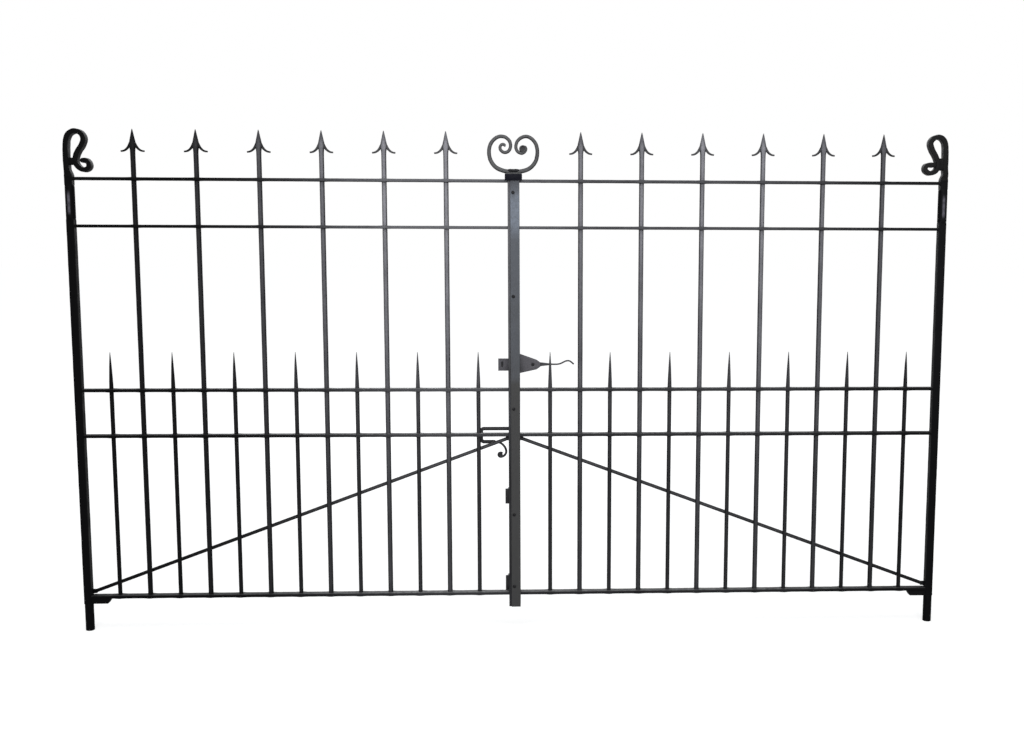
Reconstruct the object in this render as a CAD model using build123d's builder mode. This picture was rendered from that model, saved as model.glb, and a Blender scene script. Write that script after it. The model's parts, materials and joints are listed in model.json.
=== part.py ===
from build123d import *
from collections import namedtuple
import math
import os

# Pair of wrought iron driveway gates, in millimetres.
# X runs along the gates, Z is up, and the street face looks towards -Y.
# The left leaf turns about x = 0 and the right leaf about x = hinge_spacing.
# The origin is on the foot of the left heel pivot.

# Overall layout
hinge_spacing = 3000.0
tall_bars_per_leaf = 6
first_bar_offset = 109.5
bottom_rail_z = 121.5
lower_rail_z = 693.0
middle_rail_z = 853.0
upper_rail_z = 1416.0
top_rail_z = 1575.0
spear_tip_z = 1742.0
spike_height = 132.0
# Swelling sides of a spike: share of its height, share of the bar's diameter.
spike_sides = ((0.20, 0.90), (0.42, 0.74), (0.66, 0.54), (0.88, 0.28))

# Bar stock
rail_width = 32.0
rail_thickness = 9.5
rail_edge = 0.8
tall_bar_diameter = 17.5
dog_bar_diameter = 14.3
brace_diameter = 11.0
punch_swell = 2.0
hanging_stile_width = 27.0
stile_edge = 1.5
meeting_stile_width = 25.0
cover_plate_width = 32.0
cover_plate_thickness = 6.0

# Clearances
joint_clearance = 0.1
seat_gap = 0.3
pivot_clearance = 0.05
swing_clearance = 6.0
latch_clearance = 5.0
guide_clearance = 0.3

# Heel pivots and top journals
heel_diameter = 30.0
heel_height = 97.2
heel_edge = 3.0
heel_pin_diameter = 13.0
heel_pin_height = 40.0
heel_bore_spare = 2.0
journal_diameter = 32.0
journal_margin = 14.0
stile_head = 10.0
stub_tenon_length = 4.0
meeting_tenon_length = 7.0
tenon_width = 16.0
tenon_thickness = 7.0
column_foot_z = 76.0
column_head = 11.0

# Foot gussets and brace ends
gusset_length = 68.0
gusset_foot_length = 56.0
brace_foot_rise = 12.8
brace_head_drop = 14.4
brace_tongue_height = 13.0
brace_tongue_thickness = 6.0
brace_tongue_reach = 10.0

# Spear heads
spear_blade_length = 52.0
spear_blade_diameter = 25.0
spear_socket_length = 15.0
spear_belly_height = 24.0
spear_belly_diameter = 16.0
tip_radius = 0.8
barb_root_rise = 7.0
barb_reach = 40.0
barb_drop = 21.0
barb_root_width = 11.0
barb_tip_width = 5.0
barb_depth = 9.0
barb_bend = ((10.0, 9.0), (22.0, 22.0))

# Stile scrolls
scroll_depth = 32.0
scroll_neck_width = 16.0
scroll_tip_width = 14.0
scroll_shoulder_height = 24.0
scroll_neck_offset = -4.0
scroll_snub_radius = 8.5
scroll_tie_point = 10

# Cap and heart scroll over the meeting stiles
cap_width = 59.0
cap_thickness = 13.5
cap_edge = 2.5
cap_skirt_thickness = 6.0
cap_skirt_drop = 10.0
heart_bar_width = 14.0
heart_eye_width = 8.5
heart_depth = 14.0
heart_eye_radius = 11.0

# Latch
latch_z = 939.0
latch_plate_thickness = 5.0
latch_plate_rise = 38.0
latch_plate_drop = 30.0
latch_plate_waist = 34.0
latch_plate_length = 58.0
latch_plate_nose = 14.0
latch_plate_tip = 14.0
latch_pivot_offset = 45.0
latch_pivot_diameter = 10.0
latch_head_diameter = 18.0
latch_head_thickness = 4.0
lever_thickness = 6.0
lever_height = 20.0
lever_nose_reach = 34.0
lever_neck_length = 62.0
lever_tail_diameter = 5.5
keeper_thickness = 4.0
keeper_reach = 36.0
keeper_height = 43.0
keeper_slot_width = 6.0
keeper_slot_height = 21.0
keeper_slot_inset = 11.0
keeper_lug_thickness = 6.0
keeper_lug_length = 14.0
keeper_lug_width = 20.0
keeper_edge_margin = 3.0

# Drop bolt
bolt_diameter = 16.0
bolt_inset = 8.0
bolt_standoff = 19.0
bolt_foot_z = 66.0
handle_diameter = 13.0
handle_top_z = 709.0
handle_drop = 47.0
handle_reach = 106.0
handle_corner_radius = 10.0
handle_low_run = 39.0
handle_tail_diameter = 8.0
handle_tail_radius = 40.0
handle_tail_turn = 75.0
handle_crook_radius = 20.0
handle_eye_radius = 7.5
handle_eye_turn = 230.0
handle_eye_thickness = 6.0
guide_height = 54.0
guide_wall = 5.0
guide_plate_thickness = 6.0
guide_wing = 13.0
upper_guide_z = 468.0
lower_guide_z = 152.0

# Hand-bent runs, each as the points its bar passes through.
# Stile scrolls: reach towards the middle of the gates, height above the stile.
left_scroll_run = ((-5, 60), (-4, 100), (0, 125), (10, 142), (27.5, 149.5), (46.5, 142.5), (55.5, 124),
                   (50, 103.5), (37, 83.5), (28, 64.5), (26.5, 43.5), (37.5, 26), (55, 19), (69, 26.5),
                   (70, 40.5), (62, 50), (52, 50.5))
right_scroll_run = ((-2.5, 43), (-2.5, 80), (0, 122), (9, 142.5), (25, 150), (42.5, 143.5), (52, 127),
                    (45.5, 105), (34, 85), (25.5, 64), (25, 42), (36.5, 28), (54, 25), (67, 34.5),
                    (66.5, 47.5), (55, 53), (41, 52.5))
left_scroll_tie = (35.0, 60.0)
right_scroll_tie = (34.0, 76.0)

# Heart halves: reach from the middle of the gates, height above the cap.
left_heart_run = ((20, 7.3), (48, 15), (67, 28), (79, 47.5), (83.5, 71.5), (80, 95), (68, 114),
                  (49, 125.5), (28.5, 124), (13.5, 111), (9.5, 93), (16, 77.5), (29.5, 72), (42, 78),
                  (46, 89), (40.5, 98.5), (31.5, 98.5), (28.5, 91.5))
right_heart_run = ((20, 7.3), (46, 14), (64.5, 26.5), (77.5, 46), (82, 70), (79.5, 94), (69, 113),
                   (50.5, 125.5), (30.5, 124), (14, 110.5), (8.5, 92), (13.5, 76.5), (26.5, 69.5),
                   (38, 74), (43, 84.5), (38.5, 95))
right_heart_eye = (32.5, 84.0)

# Latch tail: reach from the lever's neck, rise above the latch.
lever_tail_run = ((22, 0), (39, 4), (51, 10), (62, 12.5), (72, 9), (81, 1.5))

# Derived places
rail_half_width = rail_width / 2
rail_half_thickness = rail_thickness / 2
middle_x = hinge_spacing / 2
column_width = meeting_stile_width + swing_clearance + rail_thickness
leaf_reach = (hinge_spacing - column_width) / 2
bars_per_leaf = 2 * tall_bars_per_leaf + 1
bar_pitch = (leaf_reach - first_bar_offset) / bars_per_leaf
stile_foot_z = heel_height + seat_gap
hanging_stile_half = hanging_stile_width / 2
hanging_stile_top = top_rail_z + stile_head
bar_foot_z = bottom_rail_z - rail_half_thickness
column_left_x = leaf_reach
column_right_x = hinge_spacing - leaf_reach
left_stile_front_y = -(rail_half_width + swing_clearance)
cover_plate_front_y = left_stile_front_y - cover_plate_thickness
column_top_z = top_rail_z + column_head
cap_top_z = column_top_z + cap_thickness
brace_y = (tall_bar_diameter + brace_diameter) / 2 + seat_gap
lever_y = rail_half_width + keeper_thickness + latch_clearance
lever_back_y = lever_y + lever_thickness
latch_pivot_x = column_right_x + latch_pivot_offset
bolt_x = column_left_x + bolt_inset
bolt_y = rail_half_width + bolt_standoff

# A leaf grows from its hinge towards the middle, along its direction.
Leaf = namedtuple("Leaf", "name hinge_x direction meeting_width meeting_front_y scroll_run scroll_tie")
left_leaf = Leaf("left", 0.0, 1, meeting_stile_width, left_stile_front_y,
                 left_scroll_run, left_scroll_tie)
right_leaf = Leaf("right", hinge_spacing, -1, rail_thickness, -rail_half_width,
                  right_scroll_run, right_scroll_tie)

tall_rails = {"top_rail": top_rail_z, "upper_rail": upper_rail_z}
full_rails = {"middle_rail": middle_rail_z, "lower_rail": lower_rail_z, "bottom_rail": bottom_rail_z}
rail_heights = {**tall_rails, **full_rails}


def across(leaf, distance):
    return leaf.hinge_x + leaf.direction * distance


def bar_places(leaf, first):
    # Every second bar of the leaf, counted from the hinge side.
    numbers = range(first, bars_per_leaf, 2)
    return [across(leaf, first_bar_offset + number * bar_pitch) for number in numbers]


def dog_places(leaf):
    return bar_places(leaf, 0)


def tall_places(leaf):
    return bar_places(leaf, 1)


def street_plane(y):
    # A drawing plane that faces the street, with X across and Z up.
    return Plane(origin=(0, y, 0), x_dir=(1, 0, 0), z_dir=(0, -1, 0))


def save(part, name):
    part.label = name
    export_step(part, f"parts/{name}.step")


def upright_block(x_range, y_range, z_range, mode=Mode.ADD):
    # A square-edged block between two corners.
    sizes = [high - low for low, high in (x_range, y_range, z_range)]
    centre = [(low + high) / 2 for low, high in (x_range, y_range, z_range)]
    with Locations(tuple(centre)):
        Box(*sizes, mode=mode)


def tapered_outline(spine, start_width, end_width, samples):
    # The outline of a flat bar that narrows along its spine, drawn in the current sketch.
    left_edge, right_edge = [], []
    for step in range(samples + 1):
        share = step / samples
        half_width = (start_width + (end_width - start_width) * share) / 2
        tangent = spine % share
        normal = Vector(-tangent.Y, tangent.X) * half_width
        left_edge.append(spine @ share + normal)
        right_edge.append(spine @ share - normal)
    with BuildLine() as outline:
        Spline(*left_edge)
        Line(left_edge[-1], right_edge[-1])
        Spline(*reversed(right_edge))
        Line(right_edge[0], left_edge[0])
    make_face(outline.edges())


def make_heel_pivot(leaf):
    # Round ground pivot: the leaf's stile turns on its pin and rides on its shoulder.
    with BuildPart() as pivot:
        with BuildSketch():
            with Locations((leaf.hinge_x, 0)):
                Circle(heel_diameter / 2)
        extrude(amount=heel_height)
        chamfer(pivot.edges().group_by(Axis.Z)[-1], heel_edge)
        with BuildSketch(Plane.XY.offset(heel_height)):
            with Locations((leaf.hinge_x, 0)):
                Circle(heel_pin_diameter / 2)
        extrude(amount=heel_pin_height)
        chamfer(pivot.edges().group_by(Axis.Z)[-1], heel_edge / 2)
    save(pivot.part, f"{leaf.name}_heel_pivot")


def make_hanging_stile(leaf):
    # Square bar with a round journal between its two upper rails and a bore in its foot.
    journal_bottom = upper_rail_z + rail_half_thickness + journal_margin
    journal_top = top_rail_z - rail_half_thickness - journal_margin
    with BuildPart() as stile:
        for low, high in ((stile_foot_z, journal_bottom), (journal_top, hanging_stile_top)):
            with BuildSketch(Plane.XY.offset(low)):
                with Locations((leaf.hinge_x, 0)):
                    corner_sketch = Rectangle(hanging_stile_width, hanging_stile_width)
                chamfer(corner_sketch.vertices(), stile_edge)
            extrude(amount=high - low)
        with BuildSketch(Plane.XY.offset(journal_bottom)):
            with Locations((leaf.hinge_x, 0)):
                Circle(journal_diameter / 2)
        extrude(amount=journal_top - journal_bottom)
        with BuildSketch(Plane.XY.offset(stile_foot_z)):
            with Locations((leaf.hinge_x, 0)):
                Circle(heel_pin_diameter / 2 + pivot_clearance)
        extrude(amount=heel_pin_height + heel_bore_spare, mode=Mode.SUBTRACT)
        cut_tenon_pockets(across(leaf, hanging_stile_half), -leaf.direction, stub_tenon_length)
    save(stile.part, f"{leaf.name}_hanging_stile")


def cut_tenon_pockets(face_x, direction, depth):
    # One pocket a rail, cut into a stile from its face, in the current part.
    deep = depth + joint_clearance
    with Locations(*[(face_x + direction * deep / 2, 0, z) for z in rail_heights.values()]):
        Box(deep, tenon_width + 2 * joint_clearance, tenon_thickness + 2 * joint_clearance,
            mode=Mode.SUBTRACT)


def make_meeting_stile(leaf):
    # Upright at the free end: a square-edged bar on the left, a flat bar on edge on the right.
    top_z = column_top_z if leaf is left_leaf else column_top_z - swing_clearance
    far_face = leaf_reach + leaf.meeting_width
    x_range = sorted((across(leaf, leaf_reach), across(leaf, far_face)))
    with BuildPart() as stile:
        upright_block(x_range, (leaf.meeting_front_y, rail_half_width), (column_foot_z, top_z))
        chamfer(stile.edges().filter_by(Axis.Z), rail_edge)
        cut_tenon_pockets(across(leaf, leaf_reach), leaf.direction, meeting_tenon_length)
    save(stile.part, f"{leaf.name}_meeting_stile")


def make_rail(leaf, name, height):
    # Flat bar laid flat, swelled and punched for the upright bars, with a tenon at each end.
    inner, outer = hanging_stile_half, leaf_reach
    top_z = height + rail_half_thickness
    rows = [(tall_places(leaf), tall_bar_diameter)]
    if name in full_rails:
        rows.append((dog_places(leaf), dog_bar_diameter))
    with BuildPart() as rail:
        x_range = sorted((across(leaf, inner), across(leaf, outer)))
        upright_block(x_range, (-rail_half_width, rail_half_width), (height - rail_half_thickness, top_z))
        chamfer(rail.edges().filter_by(Axis.X), rail_edge)
        tenon_range = sorted((across(leaf, inner - stub_tenon_length),
                              across(leaf, outer + meeting_tenon_length)))
        upright_block(tenon_range, (-tenon_width / 2, tenon_width / 2),
                      (height - tenon_thickness / 2, height + tenon_thickness / 2))
        for places, bar_diameter in rows:
            with BuildSketch(Plane.XY.offset(top_z)):
                with Locations(*[(x, 0) for x in places]):
                    Circle(rail_half_width + punch_swell)
            extrude(amount=-rail_thickness)
            with Locations(*[(x, 0, top_z) for x in places]):
                Hole(bar_diameter / 2 + joint_clearance, rail_thickness)
    save(rail.part, f"{leaf.name}_{name}")


def make_spear_bar(leaf, number, x):
    # Tall round bar forged out at the top into a spear with two curled barbs.
    radius = tall_bar_diameter / 2
    blade_radius = spear_blade_diameter / 2
    shoulder_z = spear_tip_z - spear_blade_length
    socket_z = shoulder_z - spear_socket_length
    belly_z = shoulder_z + spear_belly_height
    belly_radius = spear_belly_diameter / 2
    with BuildPart() as bar:
        with BuildSketch(Plane.XZ):
            with BuildLine():
                Polyline((x, bar_foot_z), (x + radius, bar_foot_z), (x + radius, socket_z),
                         (x + blade_radius, shoulder_z), (x + belly_radius, belly_z),
                         (x + tip_radius, spear_tip_z), (x, spear_tip_z), close=True)
            make_face()
        revolve(axis=Axis((x, 0, 0), (0, 0, 1)))
        for side in (-1, 1):
            with BuildLine() as spine:
                root = (x + side * radius / 2, shoulder_z + barb_root_rise)
                bends = [(x + side * reach, shoulder_z - drop) for reach, drop in barb_bend]
                Bezier(root, *bends, (x + side * barb_reach, shoulder_z - barb_drop))
            with BuildSketch(Plane.XZ):
                tapered_outline(spine.line, barb_root_width, barb_tip_width, 10)
            extrude(amount=barb_depth / 2, both=True)
    save(bar.part, f"{leaf.name}_spear_bar_{number}")


def make_dog_bars(leaf):
    # Short round bars drawn out into spikes above the middle rail.
    radius = dog_bar_diameter / 2
    spike_foot_z = middle_rail_z + rail_half_thickness
    spike_tip_z = middle_rail_z + spike_height
    spike_length = spike_tip_z - spike_foot_z
    sides = [(radius * wide, spike_foot_z + spike_length * high) for high, wide in spike_sides]
    with BuildPart() as bars:
        for x in dog_places(leaf):
            with BuildSketch(Plane.XZ):
                with BuildLine():
                    Polyline((x, bar_foot_z), (x + radius, bar_foot_z), (x + radius, spike_foot_z),
                             *[(x + reach, z) for reach, z in sides],
                             (x + tip_radius, spike_tip_z), (x, spike_tip_z), close=True)
                make_face()
            revolve(axis=Axis((x, 0, 0), (0, 0, 1)))
    save(bars.part, f"{leaf.name}_dog_bars")


def make_brace(leaf):
    # Round bar from the foot of the hanging stile to the meeting stile, behind the upright bars.
    foot = Vector(across(leaf, hanging_stile_half), brace_y, bottom_rail_z + brace_foot_rise)
    head = Vector(across(leaf, leaf_reach), brace_y, lower_rail_z - brace_head_drop)
    direction = (head - foot).normalized()
    spare = direction * brace_diameter
    with BuildPart() as brace:
        with BuildSketch(Plane(origin=foot - spare, z_dir=direction)):
            Circle(brace_diameter / 2)
        extrude(amount=(head - foot).length + 2 * brace_diameter)
        x_range = sorted((foot.X, head.X))
        upright_block(x_range, (0, 2 * brace_y), (0, top_rail_z), mode=Mode.INTERSECT)
        ends = ((foot, -hanging_stile_width, hanging_stile_half),
                (head, leaf.meeting_width, rail_half_width))
        for end, lap, seat_y in ends:
            inward = math.copysign(brace_tongue_reach, -lap)
            lap_range = sorted((end.X + leaf.direction * lap, end.X + leaf.direction * inward))
            mid_z = end.Z + direction.Z / abs(direction.X) * inward / 2
            upright_block(lap_range, (seat_y, seat_y + brace_tongue_thickness),
                          (mid_z - brace_tongue_height / 2, mid_z + brace_tongue_height / 2))
    save(brace.part, f"{leaf.name}_brace")


def make_foot_gusset(leaf):
    # Forged wedge under the bottom rail that stiffens the corner at the heel.
    with BuildPart() as gusset:
        with BuildSketch(Plane.XZ):
            with BuildLine():
                Polyline((across(leaf, hanging_stile_half), stile_foot_z),
                         (across(leaf, hanging_stile_half + gusset_foot_length), stile_foot_z),
                         (across(leaf, hanging_stile_half + gusset_length), bar_foot_z),
                         (across(leaf, hanging_stile_half), bar_foot_z), close=True)
            make_face()
        extrude(amount=hanging_stile_half, both=True)
    save(gusset.part, f"{leaf.name}_foot_gusset")


def make_stile_scroll(leaf):
    # Crook of flat bar drawn out of the hanging stile; its return is welded to the neck.
    neck_x = across(leaf, scroll_neck_offset)
    neck_z = hanging_stile_top + scroll_shoulder_height
    points = [(across(leaf, reach), hanging_stile_top + height) for reach, height in leaf.scroll_run]
    tie_low, tie_high = leaf.scroll_tie
    tie_range = sorted((neck_x, across(leaf, leaf.scroll_run[scroll_tie_point][0])))
    with BuildLine() as spine:
        Spline((neck_x, neck_z), *points, tangents=((0, 1), (-leaf.direction, 0)))
    path = spine.wire()
    with BuildPart() as scroll:
        with BuildSketch(Plane.XY.offset(hanging_stile_top)):
            with Locations((leaf.hinge_x, 0)):
                Rectangle(hanging_stile_width - 2 * stile_edge, hanging_stile_width - 2 * stile_edge)
        with BuildSketch(Plane.XY.offset(neck_z)):
            with Locations((neck_x, 0)):
                Rectangle(scroll_neck_width, scroll_depth)
        loft()
        with BuildSketch(Plane.XZ):
            tapered_outline(path, scroll_neck_width, scroll_tip_width, 60)
            with Locations(path @ 1):
                Circle(scroll_snub_radius)
        extrude(amount=scroll_depth / 2, both=True)
        upright_block(tie_range, (-hanging_stile_half, hanging_stile_half),
                      (hanging_stile_top + tie_low, hanging_stile_top + tie_high))
    save(scroll.part, f"{leaf.name}_stile_scroll")


def make_cover_plate():
    # Flat bar riveted to the left meeting stile; it covers the gap and the right stile.
    with BuildPart() as plate:
        upright_block((column_right_x - cover_plate_width, column_right_x),
                      (cover_plate_front_y, left_stile_front_y), (column_foot_z, column_top_z))
        chamfer(plate.edges().filter_by(Axis.Z), rail_edge)
    save(plate.part, "cover_plate")


def make_stile_cap():
    # Slab on the left stile and cover plate, clear above the right stile, with a front skirt.
    x_range = (middle_x - cap_width / 2, middle_x + cap_width / 2)
    with BuildPart() as cap:
        upright_block(x_range, (cover_plate_front_y, rail_half_width), (column_top_z, cap_top_z))
        upright_block(x_range, (cover_plate_front_y - cap_skirt_thickness, cover_plate_front_y),
                      (column_top_z - cap_skirt_drop, cap_top_z))
        chamfer(cap.edges().group_by(Axis.Z)[-1], cap_edge)
    save(cap.part, "stile_cap")


def make_heart_scroll():
    # One bar on the cap, wound at each end: an open hook on the left, a solid eye on the right.
    base_z = cap_top_z + heart_bar_width / 2
    halves = ((left_leaf, left_heart_run), (right_leaf, right_heart_run))
    with BuildPart() as heart:
        for leaf, run in halves:
            points = [(middle_x - leaf.direction * reach, cap_top_z + height) for reach, height in run]
            with BuildLine() as spine:
                Spline((middle_x, base_z), *points)
            with BuildSketch(Plane.XZ):
                tapered_outline(spine.wire(), heart_bar_width, heart_eye_width, 72)
            extrude(amount=heart_depth / 2, both=True)
        eye_reach, eye_height = right_heart_eye
        with BuildSketch(Plane.XZ):
            with Locations((middle_x + eye_reach, cap_top_z + eye_height)):
                Circle(heart_eye_radius)
        extrude(amount=heart_depth / 2, both=True)
        # Flattened underneath, where it sits on the cap.
        upright_block((middle_x - cap_width, middle_x + cap_width), (-heart_depth, heart_depth),
                      (column_top_z, cap_top_z), mode=Mode.SUBTRACT)
    save(heart.part, "heart_scroll")


def make_latch_keeper():
    # Slotted plate on the back of the left stile, with a lug that the latch nose lies on.
    left_x = column_left_x - keeper_reach
    right_x = column_left_x + meeting_stile_width
    back_y = rail_half_width + keeper_thickness
    lug_top = latch_z - lever_height / 2 - seat_gap
    slot_x = left_x + keeper_slot_inset + keeper_slot_width / 2
    with BuildPart() as keeper:
        upright_block((left_x, right_x), (rail_half_width, back_y),
                      (latch_z - keeper_height / 2, latch_z + keeper_height / 2))
        with BuildSketch(street_plane(back_y)):
            with Locations((slot_x, latch_z)):
                SlotOverall(keeper_slot_height, keeper_slot_width, rotation=90)
        extrude(amount=keeper_thickness, mode=Mode.SUBTRACT)
        lug_left = slot_x + keeper_slot_width / 2 + keeper_edge_margin
        upright_block((lug_left, lug_left + keeper_lug_width), (rail_half_width, back_y + keeper_lug_length),
                      (lug_top - keeper_lug_thickness, lug_top))
    save(keeper.part, "latch_keeper")


def make_latch_plate():
    # Tapering plate on the back of the right stile that carries the latch pivot.
    seat_x = column_right_x - rail_thickness
    waist_x = column_right_x + latch_plate_length
    nose_x = waist_x + latch_plate_nose
    with BuildPart() as plate:
        with BuildSketch(street_plane(rail_half_width + latch_plate_thickness)):
            with BuildLine():
                Polyline((seat_x, latch_z + latch_plate_rise), (column_right_x, latch_z + latch_plate_rise),
                         (waist_x, latch_z + latch_plate_waist / 2), (nose_x, latch_z + latch_plate_tip / 2),
                         (nose_x, latch_z - latch_plate_tip / 2), (waist_x, latch_z - latch_plate_waist / 2),
                         (column_right_x, latch_z - latch_plate_drop), (seat_x, latch_z - latch_plate_drop),
                         close=True)
            make_face()
            with Locations((latch_pivot_x, latch_z)):
                Circle(latch_pivot_diameter / 2 + joint_clearance, mode=Mode.SUBTRACT)
        extrude(amount=latch_plate_thickness)
    save(plate.part, "latch_plate")


def make_latch_pivot():
    # Shouldered rivet: shank in the plate, collar against it, journal in the lever, head behind.
    plate_back = rail_half_width + latch_plate_thickness
    stages = ((rail_half_width, lever_back_y + seat_gap, latch_pivot_diameter),
              (plate_back, lever_y - seat_gap, latch_head_diameter),
              (lever_back_y + seat_gap, lever_back_y + seat_gap + latch_head_thickness,
               latch_head_diameter))
    with BuildPart() as pivot:
        for near_y, far_y, diameter in stages:
            with BuildSketch(street_plane(far_y)):
                with Locations((latch_pivot_x, latch_z)):
                    Circle(diameter / 2)
            extrude(amount=far_y - near_y)
    save(pivot.part, "latch_pivot")


def make_latch_lever():
    # Flat blade whose nose lies behind the left stile, with a thin waved tail as its handle.
    nose_x = column_left_x - lever_nose_reach
    neck_x = latch_pivot_x + lever_neck_length
    half_tail = lever_tail_diameter / 2
    with BuildPart() as lever:
        with BuildSketch(street_plane(lever_back_y)):
            with BuildLine():
                upper = Polyline((nose_x, latch_z), (nose_x, latch_z + lever_height / 2),
                                 (latch_pivot_x, latch_z + lever_height / 2),
                                 (neck_x, latch_z + half_tail), (neck_x, latch_z))
                mirror(upper, about=Plane.XZ.offset(-latch_z))
            make_face()
        extrude(amount=lever_thickness)
        with BuildLine(street_plane((lever_y + lever_back_y) / 2)) as tail:
            Spline((neck_x - lever_tail_diameter, latch_z),
                   *[(neck_x + reach, latch_z + rise) for reach, rise in lever_tail_run],
                   tangents=((1, 0), (1, -1)))
        with BuildSketch(Plane(origin=tail.wire() @ 0, z_dir=tail.wire() % 0)):
            Circle(half_tail)
        sweep(path=tail.wire())
        with BuildSketch(street_plane(lever_back_y + half_tail)):
            with Locations((latch_pivot_x, latch_z)):
                Circle(latch_pivot_diameter / 2 + pivot_clearance)
        extrude(amount=lever_thickness + lever_tail_diameter, mode=Mode.SUBTRACT)
    save(lever.part, "latch_lever")


def make_bolt_guides():
    # Two plates on the back of the left stile, each with a saddle round the bolt.
    back_y = rail_half_width + guide_plate_thickness
    bore_radius = bolt_diameter / 2 + guide_clearance
    with BuildPart() as guides:
        for middle_z in (upper_guide_z, lower_guide_z):
            low, high = middle_z - guide_height / 2, middle_z + guide_height / 2
            upright_block((column_left_x - guide_wing, column_left_x + meeting_stile_width),
                          (rail_half_width, back_y), (low, high))
            with BuildSketch(Plane.XY.offset(low)):
                with Locations((bolt_x, bolt_y)):
                    Circle(bore_radius + guide_wall)
                with Locations((bolt_x, (bolt_y + rail_half_width) / 2)):
                    Rectangle(2 * (bore_radius + guide_wall), bolt_y - rail_half_width)
                with Locations((bolt_x, bolt_y)):
                    Circle(bore_radius, mode=Mode.SUBTRACT)
            extrude(amount=guide_height)
    save(guides.part, "bolt_guides")


def make_drop_bolt():
    # Round bolt with a handle bent from its top end: out, down, back and round into a closed eye.
    run = handle_reach - 2 * handle_corner_radius
    side_run = handle_drop - 2 * handle_corner_radius
    low_start_x = bolt_x - handle_reach + handle_corner_radius
    tail_start = (low_start_x + handle_low_run, handle_top_z - handle_drop)
    with BuildPart() as bolt:
        with BuildSketch(Plane.XY.offset(bolt_foot_z)):
            with Locations((bolt_x, bolt_y)):
                Circle(bolt_diameter / 2)
        extrude(amount=handle_top_z - handle_corner_radius - bolt_foot_z)
        chamfer(bolt.edges().group_by(Axis.Z)[0], guide_wall / 2)
        with BuildLine(street_plane(bolt_y)) as spine:
            rise = JernArc((bolt_x, handle_top_z - handle_corner_radius), (0, 1), handle_corner_radius, 90)
            top = Line(rise @ 1, rise @ 1 + Vector(-run, 0, 0))
            outer = JernArc(top @ 1, (-1, 0), handle_corner_radius, 90)
            side = Line(outer @ 1, outer @ 1 + Vector(0, 0, -side_run))
            inner = JernArc(side @ 1, (0, -1), handle_corner_radius, 90)
            Line(inner @ 1, inner @ 1 + Vector(handle_low_run, 0, 0))
        with BuildSketch(Plane(origin=spine.wire() @ 0, z_dir=(0, 0, 1))):
            Circle(handle_diameter / 2)
        sweep(path=spine.wire())
        with BuildLine(street_plane(bolt_y)) as tail:
            fall = JernArc(tail_start, (1, 0), handle_tail_radius, -handle_tail_turn)
            crook = JernArc(fall @ 1, fall % 1, handle_crook_radius, handle_tail_turn - 180)
            eye = JernArc(crook @ 1, crook % 1, handle_eye_radius, -handle_eye_turn)
        with BuildSketch(Plane(origin=tail.wire() @ 0, z_dir=tail.wire() % 0)):
            Circle(handle_tail_diameter / 2)
        sweep(path=tail.wire())
        with BuildSketch(street_plane(bolt_y)):
            with Locations((eye.arc_center.X, eye.arc_center.Z)):
                Circle(handle_eye_radius)
        extrude(amount=handle_eye_thickness / 2, both=True)
    save(bolt.part, "drop_bolt")


os.makedirs("parts", exist_ok=True)
for leaf in (left_leaf, right_leaf):
    make_heel_pivot(leaf)
    make_hanging_stile(leaf)
    make_meeting_stile(leaf)
    for rail_name, rail_z in rail_heights.items():
        make_rail(leaf, rail_name, rail_z)
    for bar_number, bar_x in enumerate(tall_places(leaf), start=1):
        make_spear_bar(leaf, bar_number, bar_x)
    make_dog_bars(leaf)
    make_brace(leaf)
    make_foot_gusset(leaf)
    make_stile_scroll(leaf)
make_cover_plate()
make_stile_cap()
make_heart_scroll()
make_latch_keeper()
make_latch_plate()
make_latch_pivot()
make_latch_lever()
make_bolt_guides()
make_drop_bolt()
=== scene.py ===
import bmesh
import bpy
import json
import math
from mathutils import Matrix, Vector, noise


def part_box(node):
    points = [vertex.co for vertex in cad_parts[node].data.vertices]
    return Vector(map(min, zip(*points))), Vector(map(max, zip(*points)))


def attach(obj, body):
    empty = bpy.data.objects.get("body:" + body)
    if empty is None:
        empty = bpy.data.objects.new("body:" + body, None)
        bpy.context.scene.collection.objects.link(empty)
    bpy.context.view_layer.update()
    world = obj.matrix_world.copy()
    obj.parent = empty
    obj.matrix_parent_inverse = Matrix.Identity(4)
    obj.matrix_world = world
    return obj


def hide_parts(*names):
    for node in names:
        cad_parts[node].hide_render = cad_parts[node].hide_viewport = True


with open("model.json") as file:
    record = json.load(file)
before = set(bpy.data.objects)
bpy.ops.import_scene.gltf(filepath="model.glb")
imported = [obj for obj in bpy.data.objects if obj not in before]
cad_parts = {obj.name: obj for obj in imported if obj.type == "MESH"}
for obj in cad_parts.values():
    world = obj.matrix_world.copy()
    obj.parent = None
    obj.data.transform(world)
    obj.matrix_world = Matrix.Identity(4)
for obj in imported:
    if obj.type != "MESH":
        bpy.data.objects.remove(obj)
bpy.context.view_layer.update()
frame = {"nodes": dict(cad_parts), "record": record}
bodyOf = {node: body for body, nodes in frame["record"]["behaviour"]["bodies"].items() for node in nodes}
print("frame loaded,", len(frame["nodes"]), "nodes")


def show(item):
    bpy.context.scene.collection.objects.link(item)
    return item


# Camera: eye height, four metres out on the street side
viewpoint = {
    "place": (1.5585, -4.183, 1.362),
    "yaw": 2.65,  # degrees, towards +X
    "pitch": -6.82,
    "roll": 0.19,
    "lens": 42.12,
    "sensor": 36.0,
    "shift": (-0.0723, 0.0151),
    "farthest": 200.0,
}


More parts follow.
